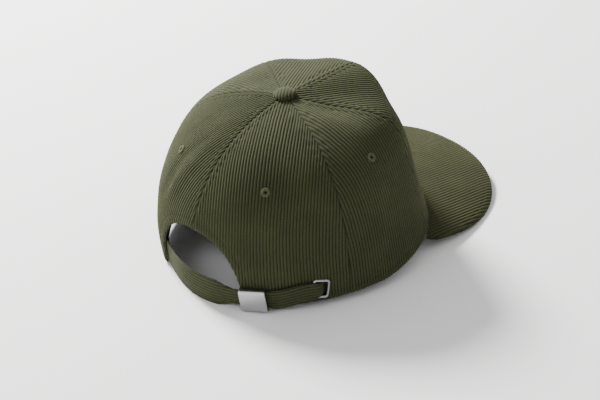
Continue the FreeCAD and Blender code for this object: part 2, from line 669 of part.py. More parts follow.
def make_buckle():
    hinge_x = "-(@buckle_length / 2 - @pin_setback)"

    base = doc.addObject("PartDesign::Body", "buckle_frame")
    plate = attach_sketch(base, "plate_outline", "XY_Plane")
    left = "-(@buckle_length / 2 + @pin_setback)"
    right = "@buckle_length / 2 - @plate_setback"
    half = "@frame_width / 2"
    corners = [(left, f"-({half})"), (right, f"-({half})"), (right, half), (left, half)]
    draw_polygon(plate, [(D(x), D(y)) for x, y in corners])
    plate.AttachmentOffset = Placement(Vector(0, 0, size("frame_base_height")), Rotation())
    plate.setExpression("AttachmentOffset.Base.z", D("@frame_base_height"))
    add_feature(base, "Pad", "plate", plate, D("@frame_base_thickness"))
    ears = attach_sketch(base, "ear_outline", "XZ_Plane")
    low = "@frame_base_height"
    high = "@pin_height + @ear_round"
    heel = f"{hinge_x} - @ear_round"
    inner = f"{left} + @ear_length"
    facet = "@ear_facet"
    corners = [(heel, low), (inner, low), (inner, high), (f"{hinge_x} - {facet}", high),
               (heel, f"@pin_height + {facet}")]
    draw_polygon(ears, [(D(x), D(y)) for x, y in corners])
    add_feature(base, "Pad", "ear_block", ears, D("@frame_width"), middle=True)
    between = attach_sketch(base, "between_ears", "XZ_Plane")
    floor = "@frame_base_height + @frame_base_thickness"
    near = f"{left} - @tool_overrun"
    far = f"{inner} + @tool_overrun"
    over = f"{high} + @tool_overrun"
    corners = [(near, floor), (far, floor), (far, over), (near, over)]
    draw_polygon(between, [(D(x), D(y)) for x, y in corners])
    add_feature(base, "Pocket", "strap_way", between, D("@frame_width - 2 * @ear_thickness"), middle=True)
    bore = attach_sketch(base, "pin_bore", "XZ_Plane")
    draw_circle(bore, D(hinge_x), D("@pin_height"), D("@pin_radius"))
    add_feature(base, "Pocket", "pin_hole", bore, D("@frame_width + @tool_overrun"), middle=True)
    keep(base, "buckle_frame", buckle_frame)

    lever = doc.addObject("PartDesign::Body", "buckle_lever")
    section = attach_sketch(lever, "lid_section", "YZ_Plane")
    outer = "@lid_width / 2"
    web = "@lid_width / 2 - @lid_flange_thickness"
    under = "@pin_height + @pin_radius + @lid_gap"
    top = f"{under} + @lid_thickness"
    foot = f"{top} - @lid_flange_depth"
    corners = [(f"-({outer})", foot), (f"-({web})", foot), (f"-({web})", under), (web, under),
               (web, foot), (outer, foot), (outer, top), (f"-({outer})", top)]
    draw_polygon(section, [(D(y), D(z)) for y, z in corners])
    lid = add_feature(lever, "Pad", "lid", section, D("@buckle_length"), middle=True)
    barrel = attach_sketch(lever, "barrel_circle", "XZ_Plane")
    draw_circle(barrel, D(hinge_x), D("@pin_height"), D("@barrel_radius"))
    add_feature(lever, "Pad", "barrel", barrel, D("@barrel_length"), middle=True)
    rib = attach_sketch(lever, "rib_outline", "XZ_Plane")
    rib_left = f"{hinge_x} - @pin_setback + @rib_overlap"
    rib_right = f"{hinge_x} + @barrel_radius"
    rib_top = f"{under} + @rib_overlap"
    corners = [(rib_left, "@pin_height"), (rib_right, "@pin_height"), (rib_right, rib_top),
               (rib_left, rib_top)]
    draw_polygon(rib, [(D(x), D(y)) for x, y in corners])
    add_feature(lever, "Pad", "rib", rib, D("@barrel_length"), middle=True)
    bore = attach_sketch(lever, "lever_bore", "XZ_Plane")
    draw_circle(bore, D(hinge_x), D("@pin_height"), D("@pin_radius + @pin_clearance"))
    add_feature(lever, "Pocket", "lever_hole", bore, D("@lid_width + 2 * @tool_overrun"), middle=True)
    doc.recompute()
    shape = lever.Shape
    crest = max(edge.BoundBox.ZMax for edge in shape.Edges)
    rounded = []
    for index, edge in enumerate(shape.Edges, start=1):
        box = edge.BoundBox
        along_side = abs(box.YMin) > size("lid_width") / 2 - TOUCH and box.YLength < TOUCH
        if along_side and box.XLength > LONG_EDGE and box.ZMin > crest - TOUCH:
            rounded.append(f"Edge{index}")
    finished = lever.Tip
    fillet = lever.newObject("PartDesign::Fillet", "soft_edges")
    fillet.Base = (finished, rounded)
    fillet.setExpression("Radius", D("@lid_edge_radius"))
    lever.Tip = fillet
    keep(lever, "buckle_lever", buckle_frame)

    pin = doc.addObject("Part::Cylinder", "buckle_pin")
    pin.setExpression("Radius", D("@pin_radius"))
    pin.setExpression("Height", D("@lid_width + 2 * @pin_overhang"))
    half_length = size("lid_width") / 2 + size("pin_overhang")
    hinge = Vector(-(size("buckle_length") / 2 - size("pin_setback")), half_length, size("pin_height"))
    lying = Placement(hinge, Rotation(Vector(1, 0, 0), 90))
    keep(pin, "buckle_pin", buckle_frame.multiply(lying))


# ---------------------------------------------------------------- grommet
def make_grommet():
    places = {
        "tuck_grommet": (size("grommet_lift"), "@grommet_thickness"),
        "grommet_back_ring": (-size("grommet_back_depth") - size("grommet_back_thickness"),
                              "@grommet_back_thickness"),
    }
    for label, (low, thickness) in places.items():
        body = doc.addObject("PartDesign::Body", label)
        outline = attach_sketch(body, "outline", "XY_Plane")
        for trim in ("0", "@grommet_bar"):
            long_half = f"@grommet_length / 2 - {trim}"
            wide_half = f"@grommet_width / 2 - {trim}"
            draw_rectangle(outline, D(long_half), D(wide_half))
        pad = add_feature(body, "Pad", "ring", outline, D(thickness))
        doc.recompute()
        uprights = []
        for index, edge in enumerate(pad.Shape.Edges, start=1):
            if edge.BoundBox.ZLength > size("grommet_back_thickness") - TOUCH:
                uprights.append((index, edge.BoundBox))
        outside = [f"Edge{i}" for i, box in uprights if abs(box.XMin) > size("grommet_length") / 2 - TOUCH]
        fillet = body.newObject("PartDesign::Fillet", "outer_corners")
        fillet.Base = (pad, outside)
        fillet.setExpression("Radius", D("@grommet_corner_radius"))
        doc.recompute()
        uprights = []
        for index, edge in enumerate(fillet.Shape.Edges, start=1):
            box = edge.BoundBox
            upright = box.ZLength > size("grommet_back_thickness") - TOUCH
            at_end = abs(abs(box.XMin) - slot_length / 2) < TOUCH
            at_side = abs(abs(box.YMin) - slot_width / 2) < TOUCH
            if upright and at_end and at_side:
                uprights.append(f"Edge{index}")
        inner = body.newObject("PartDesign::Fillet", "inner_corners")
        inner.Base = (fillet, uprights)
        inner.setExpression("Radius", D("@grommet_hole_radius"))
        body.Tip = inner
        lift = Placement(Vector(0, 0, low), Rotation())
        keep(body, label, grommet_frame.multiply(lift))


def draw_rectangle(sketch, long_half, wide_half):
    """Rectangle about the sketch's origin."""
    first = sketch.GeometryCount
    corners = [(-1, -1), (1, -1), (1, 1), (-1, 1)]
    half = ROUGH_HALF + first
    points = [Vector(x * half, y * half, 0) for x, y in corners]
    for index in range(4):
        sketch.addGeometry(Part.LineSegment(points[index], points[(index + 1) % 4]), False)
    for index in range(4):
        last = first + (index + 1) % 4
        sketch.addConstraint(Sketcher.Constraint("Coincident", first + index, 2, last, 1))
    for index, (x_sign, y_sign) in enumerate(corners):
        for kind, sign, half in (("DistanceX", x_sign, long_half), ("DistanceY", y_sign, wide_half)):
            away = ROUGH_HALF * sign
            number = sketch.addConstraint(Sketcher.Constraint(kind, -1, 1, first + index, 1, away))
            sketch.setExpression(f"Constraints[{number}]", f"{sign} * ({half})")


make_panels()
make_buckram()
make_seam_tapes()
make_sweatband()
make_opening_binding()
make_eyelets()
make_visor()
make_button()
make_strap()
make_buckle()
make_grommet()
doc.recompute()

# ---------------------------------------------------------------- checks and files
for item in doc.Objects:
    if "Invalid" in item.State or "Error" in item.State:
        raise RuntimeError(f"{item.Name} did not rebuild: {item.State}")
for feature in PARTS:
    shape = feature.Shape
    if shape.isNull() or not shape.isValid() or not shape.Solids:
        raise RuntimeError(f"{feature.Label} is not a valid solid")
    if shape.Volume <= 0:
        raise RuntimeError(f"{feature.Label} has no volume")
for feature in PARTS:
    feature.Shape.exportStep(f"parts/{feature.Label}.step")
    box = feature.Shape.BoundBox
    extent = f"{box.XLength:.1f} x {box.YLength:.1f} x {box.ZLength:.1f}"
    print(f"{feature.Label}: {feature.Shape.Volume / 1000:.2f} cm3, {extent}, z {box.ZMin:.2f}")
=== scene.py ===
import math

import bpy
import numpy as np
from mathutils import Matrix, Vector


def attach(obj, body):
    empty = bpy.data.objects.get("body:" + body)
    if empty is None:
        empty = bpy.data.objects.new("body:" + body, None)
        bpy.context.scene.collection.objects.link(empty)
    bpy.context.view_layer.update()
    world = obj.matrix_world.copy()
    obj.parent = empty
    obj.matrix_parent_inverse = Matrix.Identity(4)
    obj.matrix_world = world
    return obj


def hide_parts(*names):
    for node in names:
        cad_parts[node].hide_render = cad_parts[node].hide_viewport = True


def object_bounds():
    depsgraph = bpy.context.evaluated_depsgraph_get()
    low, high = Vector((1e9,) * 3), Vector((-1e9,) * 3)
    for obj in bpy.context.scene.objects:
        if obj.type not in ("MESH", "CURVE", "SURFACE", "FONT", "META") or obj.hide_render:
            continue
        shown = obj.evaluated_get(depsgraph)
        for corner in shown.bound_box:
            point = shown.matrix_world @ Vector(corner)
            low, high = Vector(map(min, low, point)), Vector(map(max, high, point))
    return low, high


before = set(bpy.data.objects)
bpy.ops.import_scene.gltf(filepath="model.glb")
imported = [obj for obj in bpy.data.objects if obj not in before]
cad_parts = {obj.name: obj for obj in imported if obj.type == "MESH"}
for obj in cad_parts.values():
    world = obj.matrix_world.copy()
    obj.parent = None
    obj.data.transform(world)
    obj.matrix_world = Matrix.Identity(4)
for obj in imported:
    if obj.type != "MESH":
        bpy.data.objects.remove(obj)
cad_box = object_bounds()

# Lengths in this script are millimetres until a mesh is made. Azimuth 0 is the front, + towards the
# wearer's left; rise 0 is the rim and 90 the button.
MM = 0.001

# ---------------------------------------------------------------- driving dimensions
CROWN = {
    "reach": (89.6, 98.2, 96.2, 98.2),
    "fullness": (14.0, 7.8, 2.25, 2.3),
    "lean": (0.169, 0.327, -0.13, -0.074),
    "shoulder": (114.5, 108.3, 112.3, 109.0),
}
CORNER = {"bulge": 0.17, "angle": 56.0, "spread": 21.0}
CROWN_HEIGHT = 116.0
FRONT_SEAM = 59.0
REAR_SEAM = 109.5
PANEL_MIDDLES = {"side": (FRONT_SEAM + REAR_SEAM) / 2, "rear": (REAR_SEAM + 180.0) / 2}
SIDE_RIM_LIFT = 6.5
RIM_BLEND_ANGLE = 30.0
RIM_UPRIGHT_RISE = 6.0
CREST_SHARPNESS = 1.5
TOP_RISE = 90.0
BACK = 180.0
PROBE_RISE = 0.5
PROBE_HEIGHT = 4.0
JUST_ABOVE_RIM = 0.01
LENGTH_STEPS = 4
HALVINGS = 30
HIGHEST_ARCH_RISE = 60.0
FAR_AWAY = 99.0
CLOTH = 1.3
PANEL_TOP_RISE = 87.4
ARCH_HALF_WIDTH = 41.8
ARCH_HEIGHT = 49.5
ARCH_FULLNESS = 2.4
WALE_PITCH = 2.3
WALE_HEIGHT = 0.6

VISOR = {"root": 21.0, "half_angle": 64.0, "half_width": 97.6, "length": 67.2, "fullness": 2.41,
         "slope": 0.151, "arch": 19.0, "thickness": 3.6, "end": 0.965, "board_inset": 3.0,
         "gap": 0.3, "end_power": 6, "row_bias": 1.25, "wale_height": 0.54,
         "cover": 1.05, "board_half": 0.7, "board_end": 0.03}

STRAP = {"anchor": 49.0, "reach": 111.0, "thickness": 1.3, "height": 21.0, "buckle_height": 13.0,
         "end_height": 12.4, "slot_height": 10.4, "inside": 2.5, "outside": 2.0, "tail": 2.75,
         "tail_rise": 5.5, "trim": 0.2, "swell": 2.6}
# where each change along the strap begins, and how long it takes
STRAP_CHANGES = {"leave": (-39.8, 60.0), "dive": (96.4, 5.8), "narrow": (22.0, 16.0), "tuck": (64.0, 28.0),
                 "slot": (92.0, 6.5), "swell": (61.0, 5.0), "settle": (86.0, 12.0)}
TAB = {"start": 51.5, "end": 84.0, "half_height": 6.0, "height": 12.0, "thickness": 0.5, "gap": 0.05}
GROMMET = {"station": 98.0, "height": 16.0, "tilt": 8.0, "length": 12.6, "width": 15.6, "bar": 2.0,
           "thickness": 1.5, "corner": 3.0, "lift": 0.1, "hole_margin": 1.8, "hole_depth": 8.0}
BUCKLE = {"station": 52.1, "height": 10.5, "tilt": -4.0, "length": 19.1, "width": 17.0, "pin_height": 4.5,
          "pin_setback": 0.6, "barrel_length": 14.3, "top": 6.15, "flange": 3.4, "corner": 1.3,
          "crown": 0.12, "bow": 0.35, "sheet": 0.6, "bevel": 0.2}
# radius and place along the pin of each ring of the lid's rolled barrel, from its end
BARREL_RINGS = ((0.66, 0.0), (1.0, 0.0), (1.15, 0.15))
EYELET = {"side": 43.0, "rear": 46.0, "radius": 3.3, "hole": 1.3}
BUTTON = {"radius": 8.0, "height": 4.6, "turned_under": 128, "tuck": 0.16, "foot": 0.18, "lowest": -0.22,
          "wale_swell": 0.32, "gathers": 17}
SEAM_TAPE = {"foot": 31.0, "top": 76.0, "depth": 2.1, "thickness": 0.45, "half_width": 6.0}
LINING = {"depth": 1.35, "buckram": 0.6, "buckram_inset": 2.5, "buckram_foot": 2.0, "buckram_top": 70.0}
SWEAT = {"half_angle": 150.0, "height": 30.0, "depth": 4.3, "thickness": 1.1}
BINDING = {"width": 7.0, "outer": 1.4, "inner": 1.95, "first_radius": 97.0, "steps": 6}


# ---------------------------------------------------------------- the crown's surface
def smooth_step(value):
    value = np.clip(value, 0.0, 1.0)
    return value * value * (3 - 2 * value)


def around(quantity, azimuth):
    """A crown quantity at an azimuth: the smoothest wave through its four stations."""
    front, temple, ear, back = CROWN[quantity]
    waves = (
        (front + 2 * temple + 2 * ear + back) / 6,
        (front + temple - ear - back) / 3,
        (front - temple - ear + back) / 3,
        (front - 2 * temple + 2 * ear - back) / 6,
    )
    turn = np.radians(azimuth)
    return sum(wave * np.cos(order * turn) for order, wave in enumerate(waves))


def visor_height(x, y):
    arch = VISOR["arch"] * (x / VISOR["half_width"]) ** 2
    return VISOR["root"] + VISOR["slope"] * (y + CROWN["reach"][0]) - arch


def from_front(azimuth):
    """Angle from the front, 0 to 180 degrees, on either side."""
    return np.abs((azimuth + 180.0) % 360.0 - 180.0)


def rim_height(azimuth):
    reach = around("reach", azimuth)
    turn = np.radians(azimuth)
    on_visor = visor_height(reach * np.sin(turn), -reach * np.cos(turn))
    away = smooth_step((from_front(azimuth) - VISOR["half_angle"]) / RIM_BLEND_ANGLE)
    return on_visor * (1 - away) + away * SIDE_RIM_LIFT * np.sin(turn) ** 2


def profile(azimuth, rise):
    """Radius and height of the crown's outer surface."""
    fullness = around("fullness", azimuth)
    across = np.maximum(np.cos(np.radians(rise)), 1e-9)
    up = np.maximum(np.sin(np.radians(rise)), 0.0)
    swell = (across ** fullness + up ** fullness) ** (-1 / fullness)
    across = across * swell
    up = up * swell
    low = rim_height(azimuth)
    shoulder = around("shoulder", azimuth)
    corner = CORNER["bulge"] * np.exp(-((from_front(azimuth) - CORNER["angle"]) / CORNER["spread"]) ** 2)
    radius = around("reach", azimuth) * across * (1 - (around("lean", azimuth) - corner) * up)
    crest = np.clip(1 - across, 0, 1) ** CREST_SHARPNESS
    height = low + (shoulder - low) * up + (CROWN_HEIGHT - shoulder) * crest
    return radius, height


def crown_points(azimuth, rise, depth):
    """Points on or under the crown (depth > 0 is inwards), offset within their own meridian plane."""
    azimuth, rise, depth = np.broadcast_arrays(azimuth, rise, depth)
    radius, height = profile(azimuth, rise)
    below = profile(azimuth, np.maximum(rise - PROBE_RISE, 0.0))
    above = profile(azimuth, np.minimum(rise + PROBE_RISE, TOP_RISE))
    run = (above[0] - below[0]) * smooth_step(rise / RIM_UPRIGHT_RISE)
    climb = above[1] - below[1]
    slope = np.hypot(run, climb)
    radius = radius - depth * climb / slope
    height = height + depth * run / slope
    turn = np.radians(azimuth)
    return np.stack([radius * np.sin(turn), -radius * np.cos(turn), height], axis=-1)


def rise_at_height(azimuth, height):
    """Rise at which the crown stands at a height above the table."""
    fullness = around("fullness", azimuth)
    low = rim_height(azimuth)
    up = np.maximum(height - low, JUST_ABOVE_RIM) / (around("shoulder", azimuth) - low)
    across = (1 - up ** fullness) ** (1 / fullness)
    return np.degrees(np.arctan2(up, across))


def azimuth_at(station):
    """Azimuth of a place on the rim, a length along it from the back seam, + towards the right."""
    reach_along = np.abs(station)
    radius = around("reach", BACK)
    for _ in range(LENGTH_STEPS):
        angle = np.degrees(reach_along / radius)
        radius = (around("reach", BACK) + around("reach", BACK - angle)) / 2
    return np.where(np.asarray(station) >= 0, -1, 1) * (BACK - angle)


def arch_distance(points):
    """Distance from the edge of the back arch, about, positive outside it."""
    x = np.abs(points[..., 0]) / ARCH_HALF_WIDTH
    z = np.abs(points[..., 2]) / ARCH_HEIGHT
    level = (x ** ARCH_FULLNESS + z ** ARCH_FULLNESS) ** (1 / ARCH_FULLNESS)
    reach = np.hypot(points[..., 0], points[..., 2]) / np.maximum(level, 1e-6)
    return np.where(points[..., 1] > 0, (level - 1) * reach, FAR_AWAY)


def arch_rise(azimuth):
    """Lowest rise of the cloth at an azimuth: 0 at the rim, or the edge of the back arch."""
    low = np.zeros_like(azimuth)
    high = np.full_like(azimuth, HIGHEST_ARCH_RISE)
    inside = arch_distance(crown_points(azimuth, low, 0.0)) < 0
    for _ in range(HALVINGS):
        middle = (low + high) / 2
        under = arch_distance(crown_points(azimuth, middle, 0.0)) < 0
        low = np.where(under, middle, low)
        high = np.where(under, high, middle)
    return np.where(inside, high, 0.0)


def local_frame(station, height, tilt=0.0):
    """Frame on the crown: X along the rim away from the back seam, Y up the wall, Z out of it."""
    azimuth = float(azimuth_at(station))
    origin, above, below = (
        crown_points(azimuth, rise_at_height(azimuth, level), 0.0)
        for level in (height, height + PROBE_HEIGHT, height - PROBE_HEIGHT)
    )
    turn = math.radians(azimuth)
    along = np.array([math.cos(turn), math.sin(turn), 0.0])
    out = np.cross(along, above - below)
    out /= np.linalg.norm(out)
    up = np.cross(out, along)
    lean = math.radians(-tilt)
    axis_x = along * math.cos(lean) + up * math.sin(lean)
    axis_y = up * math.cos(lean) - along * math.sin(lean)
    return origin, np.stack([axis_x, axis_y, out])


def to_world(place, points):
    origin, axes = place
    return origin + np.asarray(points) @ axes


def to_local(place, points):
    origin, axes = place
    return (points - origin) @ axes.T


# ---------------------------------------------------------------- meshes
def make_mesh(name, points, faces, painted_crest_light=None):
    mesh = bpy.data.meshes.new(name)
    mesh.from_pydata((np.asarray(points).reshape(-1, 3) * MM).tolist(), [], faces)
    mesh.update()
    mesh.polygons.foreach_set("use_smooth", np.ones(len(mesh.polygons), dtype=bool))
    # optional per-point attribute of painted shade and highlight: low values give painted shade, high
    # values painted highlight
    if painted_crest_light is not None:
        layer = mesh.attributes.new("painted_crest_light", "FLOAT", "POINT")
        layer.data.foreach_set("value", np.asarray(painted_crest_light, dtype=np.float32).ravel())
    piece = bpy.data.objects.new(name, mesh)
    bpy.context.scene.collection.objects.link(piece)
    return piece


def closed_cloth(name, outer, inner, step, painted_crest_light=None, keep=None):
    """Closed layer between a fine outer grid and an inner grid that takes every step-th point."""
    rows, columns = outer.shape[:2]
    index = np.arange(rows * columns).reshape(rows, columns)
    coarse = inner[::step, ::step]
    under = index[-1, -1] + 1 + np.arange(coarse.shape[0] * coarse.shape[1]).reshape(coarse.shape[:2])
    points = np.concatenate([outer.reshape(-1, 3), coarse.reshape(-1, 3)])

    def quads(table):
        corners = [table[:-1, :-1], table[:-1, 1:], table[1:, 1:], table[1:, :-1]]
        return np.stack(corners, axis=-1).reshape(-1, 4)

    top = quads(index)
    bottom = quads(under)[:, ::-1]
    if keep is not None:
        top = top[keep(points[top].mean(axis=1), True)]
        bottom = bottom[keep(points[bottom].mean(axis=1), False)]
    faces = top.tolist() + bottom.tolist()
    borders = (
        (index[0][::-1], under[0][::-1]), (index[-1], under[-1]),
        (index[:, 0], under[:, 0]), (index[:, -1][::-1], under[:, -1][::-1]),
    )
    for fine, rough in borders:
        for place in range(len(rough) - 1):
            stretch = fine[place * step:(place + 1) * step + 1]
            faces.append([int(rough[place]), int(rough[place + 1])] + [int(i) for i in stretch[::-1]])
    values = None
    if painted_crest_light is not None:
        # the inner sheet gets a fixed low value: painted shade on the inside of the cloth
        values = np.concatenate([painted_crest_light.ravel(), np.full(coarse.shape[0] * coarse.shape[1], 0.3)])
    return make_mesh(name, points, faces, values)


def wales(distance):
    """Height of the corduroy's cords, 0 in a valley and 1 on a crest, across their direction."""
    phase = (distance / WALE_PITCH) % 1.0
    return 1.0 - np.abs(2 * phase - 1) ** 2.0


def groove(distance, width):
    return np.exp(-(distance / width) ** 2)


# sewn relief of the cloth: height (+ outwards), distance from the edge or seam, and width
RELIEF = {
    "panel_seam": (-0.45, 0.0, 0.55),
    "panel_allowance": (0.15, 2.4, 1.3),
    "panel_stitch": (-0.16, 4.2, 0.6),
    "panel_stitch_puckers": (0.14, 4.2, 2.2),
    "panel_edge": (-0.7, 0.0, 0.8),
    "panel_edge_stitch": (-0.3, 6.0, 0.8),
    "crown_puckers": (0.32, 5.5, 3.0),
    "visor_edge": (-0.95, 0.0, 1.8),
    "visor_shoulder": (-0.35, 1.5, 3.0),
    "visor_stitch": (-0.22, 5.5, 0.7),
    "visor_turned_edge": (-0.72, 0.0, 2.2),
    "strap_edge": (-0.5, 0.0, 0.7),
    "strap_stitch": (-0.2, 2.4, 0.5),
    "strap_turned_edge": (0.3, 0.0, 0.7),
    "sweatband_edge": (-0.5, 0.0, 1.2),
    "sweatband_stitch": (-0.3, 4.0, 0.7),
}


def relief(name, distance):
    height, place, width = RELIEF[name]
    return height * groove(distance - place, width)


def waver(points, size, seed):
    """Soft, seeded unevenness of the cloth, about -1 to 1."""
    chance = np.random.default_rng(seed)
    total = np.zeros(points.shape[:-1])
    for _ in range(7):
        direction = chance.normal(size=3)
        direction /= np.linalg.norm(direction)
        length = size * chance.uniform(0.7, 1.6)
        total += np.sin(points @ direction * (2 * math.pi / length) + chance.uniform(0, 6.28))
    return total / 4.0


def finish_piece(piece, body, slot, material, *nodes):
    piece.data.materials.append(material)
    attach(piece, body)
    if nodes:
        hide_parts(*nodes)
    return piece


# ---------------------------------------------------------------- materials
def new_material(name):
    material = bpy.data.materials.new(name)
    material.use_nodes = True
    tree = material.node_tree
    return material, tree, tree.nodes["Principled BSDF"]


def add_node(tree, kind, **values):
    node = tree.nodes.new(kind)
    for key, value in values.items():
        if key.startswith("in_"):
            label = key[3:]
            node.inputs[int(label) if label.isdigit() else label].default_value = value
        else:
            setattr(node, key, value)
    return node


def noise(tree, scale, detail=2.0):
    coordinates = add_node(tree, "ShaderNodeTexCoord")
    texture = add_node(tree, "ShaderNodeTexNoise", in_Scale=scale, in_Detail=detail)
    tree.links.new(coordinates.outputs["Object"], texture.inputs["Vector"])
    return texture.outputs["Fac"]


def ramp(tree, source, stops):
    node = add_node(tree, "ShaderNodeValToRGB")
    while len(node.color_ramp.elements) < len(stops):
        node.color_ramp.elements.new(0.5)
    for element, (place, colour) in zip(node.color_ramp.elements, stops):
        element.position = place
        element.color = (*colour, 1.0)
    tree.links.new(source, node.inputs["Fac"])
    return node.outputs["Color"]


def multiply(tree, first, second, factor=1.0):
    node = add_node(tree, "ShaderNodeMix", data_type="RGBA", blend_type="MULTIPLY")
    node.inputs[0].default_value = factor
    tree.links.new(first, node.inputs[6])
    tree.links.new(second, node.inputs[7])
    return node.outputs[2]


def add_bump(tree, shader, height, strength, distance):
    bump = add_node(tree, "ShaderNodeBump", in_Strength=strength, in_Distance=distance)
    tree.links.new(height, bump.inputs["Height"])
    tree.links.new(bump.outputs["Normal"], shader.inputs["Normal"])


def corduroy(name, valley, crest):
    """Cotton corduroy: painted shade on the ground between the cords and painted highlight on their
    crests, brushed fuzzy crests with uneven dye.
    """
    material, tree, shader = new_material(name)
    # painted shade and highlight: the first colour is painted shade between the cords, the second painted
    # highlight on their crests, blended by a per-point attribute
    painted_crest_light = add_node(tree, "ShaderNodeAttribute", attribute_name="painted_crest_light")
    cloth = ramp(tree, painted_crest_light.outputs["Fac"], [(0.08, valley), (0.75, crest)])
    uneven = ramp(tree, noise(tree, 38.0, 3.0), [(0.3, (0.84, 0.84, 0.84)), (0.7, (1.1, 1.1, 1.08))])
    fuzz = ramp(tree, noise(tree, 1500.0, 2.0), [(0.3, (0.74, 0.74, 0.74)), (0.7, (1.2, 1.2, 1.2))])
    colour = multiply(tree, multiply(tree, cloth, uneven), fuzz)
    tree.links.new(colour, shader.inputs["Base Color"])
    shader.inputs["Roughness"].default_value = 0.92
    shader.inputs["Specular IOR Level"].default_value = 0.15
    shader.inputs["Sheen Weight"].default_value = 0.14
    shader.inputs["Sheen Roughness"].default_value = 0.45
    shader.inputs["Sheen Tint"].default_value = (0.62, 0.66, 0.4, 1.0)
    add_bump(tree, shader, noise(tree, 2600.0, 3.0), 0.55, 0.0004)
    return material


def woven(name, dark, light, thread):
    """Plain woven tape: two crossed sets of threads, thread metres apart."""
    material, tree, shader = new_material(name)
    coordinates = add_node(tree, "ShaderNodeTexCoord")
    weaves = []
    for direction in ("X", "Z"):
        wave = add_node(tree, "ShaderNodeTexWave", bands_direction=direction, in_Scale=0.31 / thread,
                        in_Distortion=1.2)
        wave.inputs["Detail Scale"].default_value = 3.0
        tree.links.new(coordinates.outputs["Object"], wave.inputs["Vector"])
        weaves.append(wave.outputs["Fac"])
    crossed = add_node(tree, "ShaderNodeMath", operation="MULTIPLY")
    tree.links.new(weaves[0], crossed.inputs[0])
    tree.links.new(weaves[1], crossed.inputs[1])
    cloth = ramp(tree, crossed.outputs[0], [(0.0, dark), (0.8, light)])
    uneven = ramp(tree, noise(tree, 60.0, 3.0), [(0.3, (0.8, 0.8, 0.8)), (0.7, (1.1, 1.1, 1.1))])
    tree.links.new(multiply(tree, cloth, uneven), shader.inputs["Base Color"])
    shader.inputs["Roughness"].default_value = 0.9
    shader.inputs["Specular IOR Level"].default_value = 0.2
    shader.inputs["Sheen Weight"].default_value = 0.15
    add_bump(tree, shader, crossed.outputs[0], 0.6, 0.0003)
    return material


def satin_metal(name, colour, rough):
    """Satin nickel plate: fine brushing, a little handling wear."""
    material, tree, shader = new_material(name)
    coordinates = add_node(tree, "ShaderNodeTexCoord")
    stretch = add_node(tree, "ShaderNodeMapping")
    stretch.inputs["Scale"].default_value = (1.0, 1.0, 14.0)
    grain = add_node(tree, "ShaderNodeTexNoise", in_Scale=900.0, in_Detail=3.0)
    tree.links.new(coordinates.outputs["Object"], stretch.inputs["Vector"])
    tree.links.new(stretch.outputs["Vector"], grain.inputs["Vector"])
    tint = ramp(tree, noise(tree, 130.0, 3.0), [(0.3, tuple(c * 0.88 for c in colour)), (0.7, colour)])
    tree.links.new(tint, shader.inputs["Base Color"])
    spread = add_node(tree, "ShaderNodeMapRange")
    spread.inputs["To Min"].default_value = rough - 0.06
    spread.inputs["To Max"].default_value = rough + 0.08
    tree.links.new(grain.outputs["Fac"], spread.inputs["Value"])
    tree.links.new(spread.outputs["Result"], shader.inputs["Roughness"])
    shader.inputs["Metallic"].default_value = 1.0
    add_bump(tree, shader, grain.outputs["Fac"], 0.12, 0.0002)
    return material


def plain_plastic(name, colour):
    material, tree, shader = new_material(name)
    tint = ramp(tree, noise(tree, 90.0, 3.0), [(0.3, tuple(c * 0.9 for c in colour)), (0.7, colour)])
    tree.links.new(tint, shader.inputs["Base Color"])
    shader.inputs["Roughness"].default_value = 0.6
    add_bump(tree, shader, noise(tree, 900.0, 2.0), 0.15, 0.0002)
    return material


# each pair: first colour painted shade between the cords or threads, second painted highlight on their
# crests
CROWN_CLOTH = corduroy("crown_corduroy", (0.0075, 0.0085, 0.0038), (0.040, 0.0445, 0.0190))
VISOR_CLOTH = corduroy("visor_corduroy", (0.0078, 0.0085, 0.0034), (0.036, 0.038, 0.0140))
STRAP_CLOTH = corduroy("strap_corduroy", (0.009, 0.0102, 0.0048), (0.041, 0.046, 0.0205))
BUTTON_CLOTH = corduroy("button_corduroy", (0.009, 0.0102, 0.0048), (0.043, 0.048, 0.0215))
THREAD = corduroy("eyelet_thread", (0.032, 0.036, 0.017), (0.082, 0.091, 0.047))
TAPE = woven("seam_tape", (0.006, 0.007, 0.010), (0.022, 0.024, 0.032), 0.0007)
SWEATBAND = woven("sweatband_cotton", (0.007, 0.008, 0.012), (0.026, 0.028, 0.038), 0.0006)
BUCKRAM = woven("buckram", (0.30, 0.29, 0.25), (0.62, 0.60, 0.54), 0.0012)
NICKEL = satin_metal("satin_nickel", (0.42, 0.42, 0.43), 0.30)
STEEL = satin_metal("button_steel", (0.55, 0.55, 0.56), 0.38)
BOARD = plain_plastic("visor_board_plastic", (0.5, 0.5, 0.48))


# ---------------------------------------------------------------- crown panels
TOP_STITCH_RADIUS = 16
STITCH_LENGTH = 3.4
HIGHEST_RIM_RISE = 40
ROWS = 180
COLUMNS = 330
INNER_STEP = 10
GROMMET_PLACE = local_frame(GROMMET["station"], GROMMET["height"], GROMMET["tilt"])


def row_rises(azimuth, low, high, rows):
    """Rises of evenly spaced rows on one meridian, from low to high (arrays, one per column)."""
    table = np.linspace(0.0, high, 400)
    radius, height = profile(azimuth, table)
    length = np.concatenate([[0.0], np.cumsum(np.hypot(np.diff(radius), np.diff(height)))])
    start = np.interp(low, table, length)
    wanted = start[None, :] + (length[-1] - start)[None, :] * np.linspace(0, 1, rows + 1)[:, None]
    return np.interp(wanted, length, table)


def eyelet_centre(azimuth, lift=0.0):
    rise = EYELET["side"] if abs(azimuth) < REAR_SEAM else EYELET["rear"]
    return crown_points(azimuth, rise, -lift)


